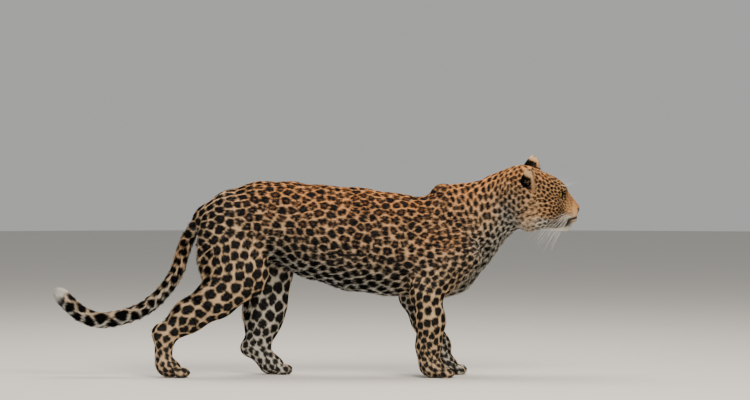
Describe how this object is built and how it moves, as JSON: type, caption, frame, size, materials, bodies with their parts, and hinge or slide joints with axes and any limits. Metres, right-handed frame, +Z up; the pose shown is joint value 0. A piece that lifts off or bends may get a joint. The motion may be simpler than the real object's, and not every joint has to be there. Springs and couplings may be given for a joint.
{
  "type": "leopard",
  "caption": "Life-size spotted leopard standing in mid-step with its head raised and its long tail curving up at the tip, a still figure.",
  "frame": {"origin": "middle of the animal's bounding box on the floor under its paws", "axes": "+X towards the nose, +Y towards the leopard's left side, +Z up"},
  "size_m": [1.7374, 0.2692, 0.7278],
  "materials": {
    "coat_back": "short smooth fur, tan with dark rosettes",
    "coat_head": "very short fur, tan with small dark spots",
    "coat_pale": "short off-white fur",
    "coat_leg": "short fur, buff with solid dark spots",
    "coat_tail": "thick fur, tan with dark blotches",
    "coat_tip": "thick fur, white with black bands",
    "coat_ear": "short fur, dark back and pale rim",
    "nose_leather": "moist dark nose leather",
    "eye": "wet, glossy, olive-amber"
  },
  "bodies": {
    "root": {"torso": "coat_back", "neck": "coat_back", "head": "coat_head", "lower_jaw": "coat_pale", "foreleg_left_upper": "coat_leg", "foreleg_left_lower": "coat_leg", "foreleg_left_paw": "coat_leg", "foreleg_right_upper": "coat_leg", "foreleg_right_lower": "coat_leg", "foreleg_right_paw": "coat_leg", "hindleg_left_thigh": "coat_leg", "hindleg_left_shank": "coat_leg", "hindleg_left_paw": "coat_leg", "hindleg_right_thigh": "coat_leg", "hindleg_right_shank": "coat_leg", "hindleg_right_paw": "coat_leg", "tail_base": "coat_tail", "tail_middle": "coat_tail", "tail_tip": "coat_tip", "ear_left": "coat_ear", "ear_right": "coat_ear", "nose": "nose_leather", "eye_left": "eye", "eye_right": "eye"}
  },
  "joints": []
}
